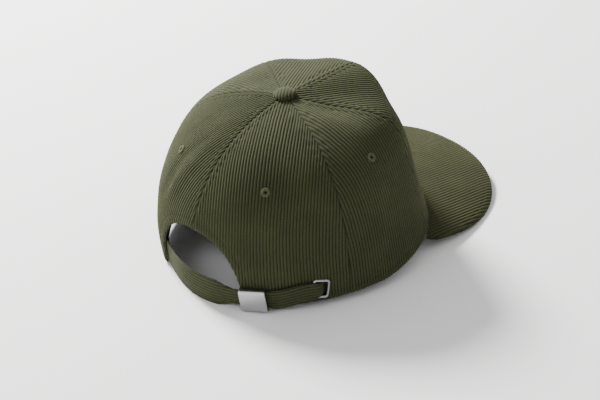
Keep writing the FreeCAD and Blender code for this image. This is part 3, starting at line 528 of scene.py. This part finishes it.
def panel_keep(azimuths):
    """Faces that stay: not in an eyelet's hole, on the outside, nor under the middle of the grommet."""
    holes = [eyelet_centre(azimuth) for azimuth in azimuths]
    reach = (EYELET["radius"] + EYELET["hole"]) / 2
    reach_x = GROMMET["length"] / 2 - GROMMET["hole_margin"]
    reach_y = GROMMET["width"] / 2 - GROMMET["hole_margin"]

    def keep(centres, outside):
        stay = np.ones(len(centres), dtype=bool)
        for hole in holes if outside else []:
            stay &= np.linalg.norm(centres - hole, axis=1) > reach
        local = np.abs(to_local(GROMMET_PLACE, centres))
        inside = (local[:, 0] < reach_x) & (local[:, 1] < reach_y)
        return stay & ~(inside & (local[:, 2] < GROMMET["hole_depth"]))

    return keep


# soft folds in the crown: (azimuth, rise) of both ends, width and height, + outwards
FOLDS = [
    ((-72.0, 82.0), (-70.0, 52.0), 6.5, -1.5),
    ((-84.0, 82.0), (-88.0, 56.0), 7.0, 0.9),
    ((-118.0, 82.0), (-115.0, 52.0), 6.0, -0.8),
    ((166.0, 60.0), (158.0, 30.0), 4.5, 1.3),
    ((159.0, 56.0), (150.0, 28.0), 4.5, -1.1),
    ((150.0, 80.0), (138.0, 58.0), 7.0, -0.8),
    ((72.0, 84.0), (70.0, 60.0), 8.0, -1.0),
    ((118.0, 78.0), (122.0, 50.0), 8.0, -0.8),
]


def folds(points):
    """Height of the crown's soft folds at points of its surface."""
    total = np.zeros(points.shape[:-1])
    for start, end, width, height in FOLDS:
        first = crown_points(start[0], start[1], 0.0)
        last = crown_points(end[0], end[1], 0.0)
        line = last - first
        share = np.clip((points - first) @ line / (line @ line), 0.0, 1.0)
        away = np.linalg.norm(points - (first + share[..., None] * line), axis=-1)
        sagged = np.linalg.norm((first + last) / 2 - crown_points((start[0] + end[0]) / 2,
                                                                (start[1] + end[1]) / 2, 0.0))
        away = np.maximum(away - sagged * 4 * share * (1 - share), 0.0)
        total += height * groove(away, width) * (0.35 + 0.65 * np.sin(math.pi * share))
    return total


def make_panel(name, low_azimuth, high_azimuth, eyelets, seed):
    centre = (low_azimuth + high_azimuth) / 2
    half = (high_azimuth - low_azimuth) / 2
    across = np.linspace(-1, 1, COLUMNS + 1)
    azimuth = centre + half * across
    rises = row_rises(centre, arch_rise(azimuth), PANEL_TOP_RISE, ROWS)
    azimuth = np.broadcast_to(azimuth, rises.shape)
    base = crown_points(azimuth, rises, 0.0)
    radius = profile(np.full_like(rises, centre), rises)[0]
    sideways = np.radians(half) * across[None, :] * radius
    cord = wales(sideways + 0.3 * waver(base, 40.0, seed) + 0.1 * waver(base, 11.0, seed + 30))
    seam = (1 - np.abs(across))[None, :] * np.radians(half) * np.hypot(base[..., 0], base[..., 1])
    above_rim = base[..., 2] - rim_height(azimuth)
    above_rim = np.where(rises > HIGHEST_RIM_RISE, FAR_AWAY, above_rim)
    edge = np.minimum(above_rim, arch_distance(base))
    proud = WALE_HEIGHT * (cord - 0.5)
    proud += relief("panel_seam", seam)
    proud += relief("panel_stitch", seam) * (radius > TOP_STITCH_RADIUS)
    proud += relief("panel_allowance", seam)
    proud += relief("panel_edge", edge)
    proud += relief("panel_edge_stitch", edge)
    proud += 0.35 * waver(base, 34.0, seed + 50) * smooth_step(seam / 12.0) * smooth_step(edge / 14.0)
    near_top = smooth_step((58.0 - radius) / 30.0) * smooth_step((radius - 9.0) / 6.0)
    proud += relief("crown_puckers", seam) * near_top * waver(base, 6.5, seed + 70)
    proud += np.sin(base[..., 2] * 2 * math.pi / STITCH_LENGTH) * relief("panel_stitch_puckers", seam)
    fold = folds(base)
    proud += fold
    # painted shade: darker in the cord valleys, darker still along the seams and along the stitch line
    # near the edge; painted highlight on the crests
    painted_crest_light = cord * (1 - 0.45 * groove(seam, 0.5)) * (1 - 0.2 * groove(edge - 6.0, 0.8))
    outer = crown_points(azimuth, rises, -proud)
    inner = crown_points(azimuth, rises, CLOTH - fold)
    piece = closed_cloth(name + "_cloth", outer, inner, INNER_STEP, painted_crest_light, panel_keep(eyelets))
    finish_piece(piece, "cap", "crown_corduroy", CROWN_CLOTH, name)


def make_panels():
    stations = (0.0, FRONT_SEAM, REAR_SEAM, 180.0)
    for number, place in enumerate(("front", "side", "rear")):
        low, high = stations[number], stations[number + 1]
        holes = [PANEL_MIDDLES[place]] if place in PANEL_MIDDLES else []
        make_panel(f"{place}_left_panel", low, high, holes, number + 1)
        make_panel(f"{place}_right_panel", -high, -low, [-hole for hole in holes], number + 11)


# ---------------------------------------------------------------- linings
def make_layer(name, low_azimuth, high_azimuth, low_height, top_rise, depth, thickness, slot,
               material, columns=60, rows=60, half_width=None):
    """Thin lining inside the crown; half_width keeps it a constant width about its middle."""
    centre = (low_azimuth + high_azimuth) / 2
    across = np.linspace(-1, 1, columns + 1)
    low = rise_at_height(np.full(columns + 1, centre), rim_height(centre) + low_height)
    low = np.maximum(low, 0.0) if low_height > 0 else np.zeros(columns + 1)
    if name == "back_centre_tape":
        low = arch_rise(np.full(columns + 1, 180.0)) + 4.0
    rises = row_rises(centre, low, top_rise, rows)
    if half_width is None:
        azimuth = np.broadcast_to(centre + (high_azimuth - low_azimuth) / 2 * across, rises.shape)
    else:
        radius = profile(np.full_like(rises, centre), rises)[0]
        azimuth = centre + np.degrees(half_width * across[None, :] / radius)
    outer = crown_points(azimuth, rises, depth)
    ripple = 0.12 * waver(outer, 9.0, len(name))
    inner = crown_points(azimuth, rises, depth + thickness + ripple)
    piece = closed_cloth(name + "_cloth", inner[:, ::-1], outer[:, ::-1], 5)
    finish_piece(piece, "cap", slot, material, name)


def make_linings():
    inset = LINING["buckram_inset"]
    for side, sign in (("left", 1), ("right", -1)):
        low, high = sorted((sign * inset, sign * (FRONT_SEAM - inset)))
        make_layer(f"front_{side}_buckram", low, high, LINING["buckram_foot"],
                   LINING["buckram_top"], LINING["depth"], LINING["buckram"], "buckram", BUCKRAM)
    tapes = {
        "front_centre_tape": (0.0, ["front_left_panel", "front_right_panel"]),
        "front_left_tape": (FRONT_SEAM, ["front_left_panel", "side_left_panel"]),
        "front_right_tape": (-FRONT_SEAM, ["front_right_panel", "side_right_panel"]),
        "rear_left_tape": (REAR_SEAM, ["side_left_panel", "rear_left_panel"]),
        "rear_right_tape": (-REAR_SEAM, ["side_right_panel", "rear_right_panel"]),
        "back_centre_tape": (180.0, ["rear_left_panel", "rear_right_panel"]),
    }
    for name, (azimuth, panels) in tapes.items():
        make_layer(name, azimuth, azimuth, SEAM_TAPE["foot"], SEAM_TAPE["top"], SEAM_TAPE["depth"],
                   SEAM_TAPE["thickness"], "seam_tape", TAPE, 20, 80, SEAM_TAPE["half_width"])
    azimuths = np.linspace(-SWEAT["half_angle"], SWEAT["half_angle"], 241)
    top_rises = rise_at_height(azimuths, rim_height(azimuths) + SWEAT["height"])
    rises = np.linspace(0, 1, 41)[:, None] * top_rises[None, :]
    azimuths = np.broadcast_to(azimuths, rises.shape)
    outer = crown_points(azimuths, rises, SWEAT["depth"])
    from_rim = np.linspace(0, SWEAT["height"], 41)
    edge = np.minimum(from_rim, SWEAT["height"] - from_rim)[:, None]
    puff = SWEAT["thickness"] + relief("sweatband_edge", edge) + relief("sweatband_stitch", edge)
    puff = puff + 0.15 * waver(outer, 14.0, 5)
    inner = crown_points(azimuths, rises, SWEAT["depth"] + puff)
    piece = closed_cloth("sweatband_cloth", inner[:, ::-1], outer[:, ::-1], 5)
    finish_piece(piece, "cap", "sweatband_cotton", SWEATBAND, "sweatband")
    make_binding()


def make_binding():
    """Facing tape that follows the edge of the back arch on the inside."""
    power = 2 / ARCH_FULLNESS
    turns = np.linspace(0, math.pi, 121)
    shares = np.linspace(0, 1, 11)[:, None]
    rows = []
    for depth in (BINDING["outer"], BINDING["inner"]):
        half_width = ARCH_HALF_WIDTH + BINDING["width"] * shares
        height = ARCH_HEIGHT + BINDING["width"] * shares
        x = half_width * np.sign(np.cos(turns)) * np.abs(np.cos(turns)) ** power
        z = np.maximum(height * np.sin(turns) ** power, 0.3)
        azimuth = np.degrees(np.arctan2(x, BINDING["first_radius"])) * -1 + BACK
        for _ in range(BINDING["steps"]):
            rise = rise_at_height(azimuth, z)
            radius = profile(azimuth, rise)[0]
            azimuth = BACK - np.degrees(np.arcsin(np.clip(x / radius, -1, 1)))
        rows.append(crown_points(azimuth, rise, depth))
    piece = closed_cloth("opening_binding_cloth", rows[1], rows[0], 5)
    finish_piece(piece, "cap", "seam_tape", TAPE, "opening_binding")


# ---------------------------------------------------------------- eyelets and button
def make_eyelet(name, azimuth):
    """Buttonhole-stitched ring: radial threads laid side by side round a small hole."""
    centre = eyelet_centre(azimuth)
    outside = eyelet_centre(azimuth, 1.0)
    normal = (outside - centre) / np.linalg.norm(outside - centre)
    side = np.cross(normal, [0.0, 0.0, 1.0])
    side /= np.linalg.norm(side)
    up = np.cross(normal, side)
    turns = np.linspace(0, 2 * math.pi, 241)[:-1]
    threads = 30
    stitch = np.abs(np.cos(turns * threads / 2)) ** 0.7
    hole = EYELET["hole"] - 0.4
    middle = (EYELET["radius"] + hole) / 2
    wide = (EYELET["radius"] - hole) / 2
    loops = []
    sections = np.linspace(0, 2 * math.pi, 17)[:-1]
    for section in sections:
        rough = 0.12 * stitch
        radius = middle + (wide + rough - 0.06 + 0.07 * np.sin(turns * 7)) * math.cos(section)
        lift = 0.35 + (0.62 + rough) * math.sin(section)
        circle = centre + radius[:, None] * (np.cos(turns)[:, None] * side + np.sin(turns)[:, None] * up)
        loops.append(circle + lift[:, None] * normal)
    points = np.stack(loops)
    # painted shade between the threads and painted highlight on them
    painted_crest_light = np.broadcast_to(stitch, points.shape[:2])
    piece = make_mesh(name + "_thread", points, ring_faces(len(sections), len(turns)), painted_crest_light)
    finish_piece(piece, "cap", "eyelet_thread", THREAD, name)


def ring_faces(sections, steps):
    """Faces of a closed tube of section loops round a closed path."""
    faces = []
    for row in range(sections):
        after = (row + 1) % sections
        for column in range(steps):
            right = (column + 1) % steps
            faces.append((row * steps + column, row * steps + right,
                          after * steps + right, after * steps + column))
    return faces


def make_button():
    """Cloth-covered dome with its wales running front to back and its edge tucked under."""
    radius = BUTTON["radius"]
    rings, steps = 44, 200
    crown_top = float(profile(np.array(0.0), np.array(90.0))[1])
    turns = np.linspace(0, 2 * math.pi, steps + 1)[:-1]
    loops = []
    painted_crest_lights = []
    for share in np.linspace(0.002, 1.0, rings):
        angle = share * math.radians(BUTTON["turned_under"])
        reach = radius * min(math.sin(min(angle, math.pi / 2)), 1.0)
        if angle > math.pi / 2:
            reach = radius * (1 - BUTTON["tuck"] * (angle - math.pi / 2) ** 2)
        crest = (1 - BUTTON["foot"]) * max(math.cos(angle), BUTTON["lowest"])
        lift = BUTTON["height"] * (BUTTON["foot"] + crest)
        x = reach * np.cos(turns)
        y = reach * np.sin(turns)
        cord = wales(x * 0.78 + y * 0.62 + 0.4)
        swell = 1 + BUTTON["wale_swell"] * (cord - 0.5) / radius
        gathers = 1 + 0.02 * np.sin(turns * BUTTON["gathers"] + 1.0) * smooth_step((share - 0.6) / 0.3)
        loops.append(np.stack([x * swell * gathers, y * swell * gathers,
                               crown_top + lift * (1 + 0.05 * (cord - 0.5)) + np.zeros(steps)], axis=-1))
        # painted shade in the valleys between the cords, painted highlight on their crests
        painted_crest_lights.append(cord)
    points = np.stack(loops)
    faces = ring_faces(rings, steps)[:(rings - 1) * steps]
    faces = [face[::-1] for face in faces]
    faces.append(list(range(steps)))
    faces.append([(rings - 1) * steps + i for i in range(steps)][::-1])
    piece = make_mesh("button_cover_cloth", points, faces, np.stack(painted_crest_lights))
    finish_piece(piece, "cap", "button_corduroy", BUTTON_CLOTH, "button_cover")


# ---------------------------------------------------------------- visor
def visor_grid(columns, rows, end, inset=0.0):
    """Plan of the visor: x and y of its grid, and each point's distance from the edges of the cloth."""
    position = np.linspace(-end, end, columns + 1)
    azimuth = position * VISOR["half_angle"]
    reach = around("reach", azimuth) + VISOR["gap"]
    turn = np.radians(azimuth)
    inner = np.stack([reach * np.sin(turn), -reach * np.cos(turn)], axis=-1)
    end_turn = math.radians(VISOR["half_angle"])
    end_reach = float(around("reach", VISOR["half_angle"]))
    end_x = end_reach * math.sin(end_turn)
    end_y = -end_reach * math.cos(end_turn)
    length = end_y + CROWN["reach"][0] + VISOR["length"] - inset
    angle = position * math.pi / 2
    power = 2 / VISOR["fullness"]
    across = (VISOR["half_width"] - inset) * np.sign(angle) * np.abs(np.sin(angle)) ** power
    across = across * (1 - np.abs(position) ** VISOR["end_power"] * (1 - end_x / VISOR["half_width"]))
    forward = end_y - length * np.maximum(np.cos(angle), 0.0) ** power
    outer = np.stack([across, forward], axis=-1)
    share = np.linspace(0, 1, rows + 1)[:, None]
    share = 1 - (1 - share) ** VISOR["row_bias"]
    plan = inner[None] + (outer - inner)[None] * share[..., None]
    edge = np.linalg.norm(outer - inner, axis=-1)[None] * (1 - share)
    end_distance = np.minimum(np.linalg.norm(plan - plan[:, :1], axis=-1),
                              np.linalg.norm(plan - plan[:, -1:], axis=-1))
    return plan, np.minimum(edge, end_distance)


def make_visor():
    plan, edge = visor_grid(560, 90, VISOR["end"])
    x, y = plan[..., 0], plan[..., 1]
    cord = wales(x)
    centre = np.stack([x, y, visor_height(x, y)], axis=-1)
    soft = 0.25 * waver(centre, 45.0, 31) * smooth_step(edge / 10.0)
    thick = VISOR["thickness"]
    sewn = relief("visor_edge", edge) + relief("visor_shoulder", edge) + relief("visor_stitch", edge)
    for name, sign in (("visor_top_cover", 1), ("visor_under_cover", -1)):
        proud = VISOR["wale_height"] * (cord - 0.6) + sewn
        if sign > 0:
            proud = proud + soft
        z = centre[..., 2] - (0.0 if sign > 0 else thick) + sign * proud
        cover = VISOR["cover"] if sign > 0 else thick - VISOR["cover"]
        z_back = centre[..., 2] - cover + sign * relief("visor_turned_edge", edge)
        outside = np.stack([x, y, z], axis=-1)
        inside = np.stack([x, y, z_back], axis=-1)
        # painted shade in the cord valleys and at the visor's sewn edge, painted highlight on the crests
        painted_crest_light = cord * (1 - 0.4 * groove(edge, 0.8))
        if sign > 0:
            piece = closed_cloth(name + "_cloth", outside[::-1], inside[::-1], 10, painted_crest_light[::-1])
        else:
            piece = closed_cloth(name + "_cloth", outside, inside, 10, painted_crest_light)
        finish_piece(piece, "cap", "visor_corduroy", VISOR_CLOTH, name)
    plan, edge = visor_grid(120, 30, VISOR["end"] - VISOR["board_end"], VISOR["board_inset"])
    x, y = plan[..., 0], plan[..., 1]
    middle = visor_height(x, y) - thick / 2
    half = VISOR["board_half"] - 0.3 * groove(edge, 0.8)
    top = np.stack([x, y, middle + half], axis=-1)
    bottom = np.stack([x, y, middle - half], axis=-1)
    piece = closed_cloth("visor_board_sheet", top[::-1], bottom[::-1], 5)
    finish_piece(piece, "cap", "visor_board_plastic", BOARD, "visor_board")


# ---------------------------------------------------------------- strap
def change(name, station):
    """Share, from 0 to 1, of one of the strap's changes that is complete at a place along it."""
    start, length = STRAP_CHANGES[name]
    return smooth_step((station - start) / length)


def strap_offset(station):
    """How far the strap's inner face stands off the crown (negative inside it)."""
    inside = -(STRAP["inside"] + STRAP["thickness"])
    tail = -(STRAP["tail"] + STRAP["thickness"])
    leave = change("leave", station)
    dive = change("dive", station)
    return (inside + (STRAP["outside"] - inside) * leave) * (1 - dive) + tail * dive


def strap_band(station):
    """Lowest and highest edge of the strap at a place along it."""
    tuck = change("tuck", station)
    height = STRAP["height"] + (STRAP["buckle_height"] - STRAP["height"]) * change("narrow", station)
    height = height + (STRAP["end_height"] - STRAP["buckle_height"]) * tuck
    height = height + STRAP["swell"] * change("swell", station) * (1 - change("settle", station))
    height = height + (STRAP["slot_height"] - STRAP["end_height"]) * change("slot", station)
    centre = STRAP["height"] / 2 - STRAP["trim"] + tuck * STRAP["tail_rise"]
    return centre - height / 2, centre + height / 2


def band_grid(stations, share, offset, band):
    """Points of a band along the rim; share runs 0 to 1 up the band."""
    azimuth = azimuth_at(stations)
    low, high = band
    height = low + (high - low) * share
    azimuth = np.broadcast_to(azimuth, height.shape)
    radius = profile(azimuth, rise_at_height(azimuth, height))[0] + offset
    turn = np.radians(azimuth)
    return np.stack([radius * np.sin(turn), -radius * np.cos(turn), height], axis=-1)


def make_strap():
    stations = np.linspace(-STRAP["anchor"], STRAP["reach"], 241)
    share = np.linspace(0, 1, 71)[:, None]
    low, high = strap_band(stations)
    offset = strap_offset(stations)
    from_low = (high - low) * share
    edge = np.minimum(from_low, (high - low) - from_low)
    cord = wales(from_low - (high - low) / 2)
    base = band_grid(stations, share, offset + STRAP["thickness"], (low, high))
    face = 0.36 * (cord - 0.6) + relief("strap_edge", edge) + relief("strap_stitch", edge)
    face = face + 0.3 * waver(base, 30.0, 71) * smooth_step(edge / 5.0)
    outer = band_grid(stations, share, offset + STRAP["thickness"] + face, (low, high))
    inner = band_grid(stations, share, offset + relief("strap_turned_edge", edge), (low, high))
    # painted shade in the cord valleys and along both sewn edges, painted highlight on the crests
    painted_crest_light = cord * (1 - 0.5 * groove(edge, 0.6))
    piece = closed_cloth("strap_cloth", outer[:, ::-1], inner[:, ::-1], 10, painted_crest_light[:, ::-1])
    finish_piece(piece, "cap", "strap_corduroy", STRAP_CLOTH, "strap")

    stations = np.linspace(TAB["start"], TAB["end"], 71)
    share = np.linspace(0, 1, 41)[:, None]
    middle = BUCKLE["height"]
    band = (np.full(71, middle - TAB["half_height"]), np.full(71, middle + TAB["half_height"]))
    cord = wales(TAB["height"] * share) * np.ones((1, 71))
    outer = band_grid(stations, share, TAB["thickness"] + 0.2 * (cord - 0.5), band)
    inner = band_grid(stations, share, np.full_like(cord, TAB["gap"]), band)
    # the cord height doubles as painted shade between the cords and painted highlight on them
    piece = closed_cloth("buckle_tab_cloth", outer[:, ::-1], inner[:, ::-1], 5, cord)
    finish_piece(piece, "cap", "strap_corduroy", STRAP_CLOTH, "buckle_tab")


# ---------------------------------------------------------------- buckle and grommet
def sharpen(piece, width, segments=3):
    bevel = piece.modifiers.new("soft_edges", "BEVEL")
    bevel.width = width * MM
    bevel.segments = segments
    bevel.limit_method = "ANGLE"
    bevel.angle_limit = math.radians(35)
    bevel.harden_normals = False


def make_lid():
    """Pressed lid: a gently crowned plate with rounded sides turned down into flanges."""
    place = local_frame(BUCKLE["station"], BUCKLE["height"], BUCKLE["tilt"])
    half_width = BUCKLE["width"] / 2
    corner = BUCKLE["corner"]
    top = BUCKLE["top"]
    section = [(-half_width, top - BUCKLE["flange"])]
    for step in range(7):
        angle = math.pi - step * math.pi / 12
        section.append((-half_width + corner + corner * math.cos(angle),
                        top - corner + corner * math.sin(angle)))
    flat = half_width - corner
    section += [(y, top + BUCKLE["crown"] * (1 - (y / flat) ** 2)) for y in np.linspace(-6, 6, 7)]
    section += [(-y, z) for y, z in section[7::-1]]
    section = np.array(section)
    left = -BUCKLE["length"] / 2
    right = BUCKLE["length"] / 2
    lengths = np.linspace(0, 1, 13)
    grid = []
    for share in lengths:
        bow = BUCKLE["bow"] * share * (1 - (section[:, 0] / half_width) ** 2)
        x = left + (right - left) * share + bow
        grid.append(np.stack([x, section[:, 0], section[:, 1]], axis=-1))
    grid = np.stack(grid)
    rows, columns = grid.shape[:2]
    index = np.arange(rows * columns).reshape(rows, columns)
    faces = []
    for row in range(rows - 1):
        for column in range(columns - 1):
            faces.append((int(index[row, column]), int(index[row + 1, column]),
                          int(index[row + 1, column + 1]), int(index[row, column + 1])))
    lid = make_mesh("buckle_lid", to_world(place, grid.reshape(-1, 3)), faces)
    solid = lid.modifiers.new("sheet_metal", "SOLIDIFY")
    solid.thickness = BUCKLE["sheet"] * MM
    solid.offset = -1.0
    sharpen(lid, BUCKLE["bevel"])
    finish_piece(lid, "lever", "satin_nickel", NICKEL, "buckle_lever")

    hinge = (left + BUCKLE["pin_setback"], BUCKLE["pin_height"])
    turns = np.linspace(0, 2 * math.pi, 33)[:-1]
    half = BUCKLE["barrel_length"] / 2
    loops = []
    near = [(radius, -half + inwards) for radius, inwards in BARREL_RINGS]
    far = [(radius, half - inwards) for radius, inwards in reversed(BARREL_RINGS)]
    for radius, y in near + far:
        loops.append(np.stack([hinge[0] + radius * np.cos(turns), np.full(32, y),
                               hinge[1] + radius * np.sin(turns)], axis=-1))
    points = to_world(place, np.stack(loops).reshape(-1, 3))
    barrel = make_mesh("buckle_lid_barrel", points, ring_faces(len(loops), 32))
    finish_piece(barrel, "lever", "satin_nickel", NICKEL)


def make_grommet():
    """Domed bar bent round a rounded rectangle."""
    half_long = (GROMMET["length"] - GROMMET["bar"]) / 2
    half_wide = (GROMMET["width"] - GROMMET["bar"]) / 2
    corner = GROMMET["corner"] - GROMMET["bar"] / 2
    path = []
    outward = []
    for quarter in range(4):
        sign_x = 1 if quarter in (0, 3) else -1
        sign_y = 1 if quarter in (0, 1) else -1
        for step in range(9):
            angle = (quarter + step / 8) * math.pi / 2
            path.append((sign_x * (half_long - corner) + corner * math.cos(angle),
                         sign_y * (half_wide - corner) + corner * math.sin(angle)))
            outward.append((math.cos(angle), math.sin(angle)))
    path = np.array(path)
    outward = np.array(outward)
    loops = []
    for section in np.linspace(0, 2 * math.pi, 17)[:-1]:
        reach = GROMMET["bar"] / 2 * math.cos(section)
        lift = GROMMET["lift"] + GROMMET["thickness"] * max(math.sin(section), -0.05)
        flat = path + outward * reach
        loops.append(np.concatenate([flat, np.full((len(path), 1), lift)], axis=1))
    points = to_world(GROMMET_PLACE, np.stack(loops).reshape(-1, 3))
    piece = make_mesh("tuck_grommet_ring", points, ring_faces(16, len(path)))
    finish_piece(piece, "cap", "satin_nickel", NICKEL, "tuck_grommet")


# ---------------------------------------------------------------- CAD pieces that stay
def dress_cad_pieces():
    finishes = {"button_shell": STEEL, "button_washer": STEEL,
                "buckle_frame": NICKEL, "buckle_pin": NICKEL, "grommet_back_ring": NICKEL}
    for name, material in finishes.items():
        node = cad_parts[name]
        if not node.material_slots:
            node.data.materials.append(material)
        for slot in node.material_slots:
            slot.link = "OBJECT"
            slot.material = material


# ---------------------------------------------------------------- camera, floor and light
CAMERA = {"place": (-1.3066, 1.1231, 1.1071), "right": (-0.68234, -0.72825, -0.06373),
          "up": (0.35104, -0.40288, 0.84526), "lens": 170.13, "sensor": 36.0, "far": 50.0}
CAP_CENTRE = (0.0, 0.0, 0.05)
FLOOR_HALF = 6.0
WORLD_STRENGTH = 0.76
# place, size and power of each lamp, in metres and watts
LAMPS = {
    "key": ((1.30, -0.22, 1.02), 0.5, 106.0, (1.0, 0.995, 0.98)),
    "fill": ((0.2, 1.8, 1.4), 1.2, 12.0, (0.97, 0.98, 1.0)),
}


def make_camera():
    """Behind the wearer's right side, looking down at the buckle."""
    camera = bpy.data.objects.new("camera", bpy.data.cameras.new("camera"))
    bpy.context.scene.collection.objects.link(camera)
    camera.data.sensor_width = CAMERA["sensor"]
    camera.data.lens = CAMERA["lens"]
    camera.data.clip_end = CAMERA["far"]
    right = Vector(CAMERA["right"])
    up = Vector(CAMERA["up"])
    back = right.cross(up)
    turn = Matrix((right, up, back)).transposed().to_4x4()
    camera.matrix_world = Matrix.Translation(CAMERA["place"]) @ turn
    bpy.context.scene.camera = camera


def add_light(name, place, size, power, colour):
    data = bpy.data.lights.new(name, "AREA")
    data.shape = "DISK"
    data.size = size
    data.energy = power
    data.color = colour
    lamp = bpy.data.objects.new(name, data)
    bpy.context.scene.collection.objects.link(lamp)
    lamp.location = place
    lamp.rotation_euler = (Vector(CAP_CENTRE) - Vector(place)).to_track_quat("-Z", "Y").to_euler()


def make_studio():
    mesh = bpy.data.meshes.new("floor")
    far = FLOOR_HALF
    mesh.from_pydata([(-far, -far, 0), (far, -far, 0), (far, far, 0), (-far, far, 0)], [], [(0, 1, 2, 3)])
    floor = bpy.data.objects.new("floor", mesh)
    bpy.context.scene.collection.objects.link(floor)
    low = min(cad_box[0][2], 0.0)
    floor.location.z = low
    material, tree, shader = new_material("paper")
    tint = ramp(tree, noise(tree, 3.0), [(0.3, (0.90, 0.90, 0.895)), (0.7, (0.92, 0.92, 0.915))])
    tree.links.new(tint, shader.inputs["Base Color"])
    shader.inputs["Roughness"].default_value = 0.9
    mesh.materials.append(material)
    world = bpy.data.worlds.new("studio")
    world.use_nodes = True
    world.node_tree.nodes["Background"].inputs["Color"].default_value = (1.0, 1.0, 1.0, 1.0)
    world.node_tree.nodes["Background"].inputs["Strength"].default_value = WORLD_STRENGTH
    bpy.context.scene.world = world
    for name, (place, size, power, colour) in LAMPS.items():
        add_light(name, place, size, power, colour)


make_camera()
make_studio()
make_panels()
make_linings()
for eyelet_place, eyelet_azimuth in PANEL_MIDDLES.items():
    make_eyelet(f"{eyelet_place}_left_eyelet", eyelet_azimuth)
    make_eyelet(f"{eyelet_place}_right_eyelet", -eyelet_azimuth)
make_button()
make_visor()
make_strap()
make_lid()
make_grommet()
dress_cad_pieces()
